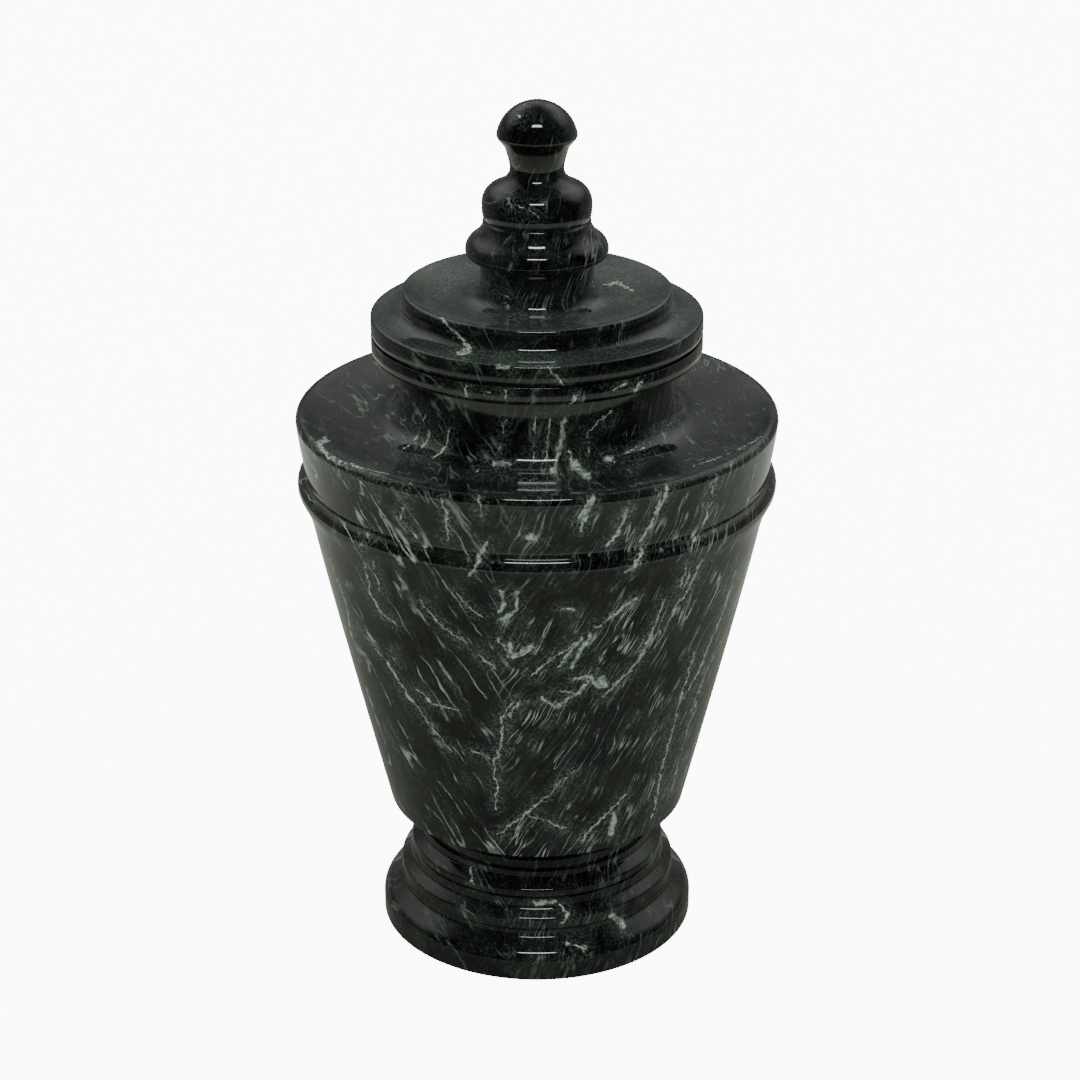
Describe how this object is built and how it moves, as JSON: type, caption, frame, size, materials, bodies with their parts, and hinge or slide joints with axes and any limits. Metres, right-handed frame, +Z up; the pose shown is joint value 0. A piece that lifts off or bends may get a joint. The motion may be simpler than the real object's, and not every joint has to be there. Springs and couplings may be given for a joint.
{
  "type": "cremation urn",
  "caption": "Lidded vase urn turned from black veined marble: stepped foot, tapering hollow body with a bead and a dished shoulder, and a lift-off lid with a turned finial.",
  "frame": {"origin": "middle of the foot's underside, on the surface that the urn stands on", "axes": "+Z up along the axis that every stone is turned about; -Y towards the viewer of the picture, which matters only to the veins"},
  "size_m": [0.2118, 0.2118, 0.3863],
  "materials": {
    "black_marble": "mirror-polished black marble with pale grey-green veins, flecks and clouds"
  },
  "bodies": {
    "root": {"foot": "black_marble", "body": "black_marble", "lid": "black_marble"}
  },
  "joints": []
}
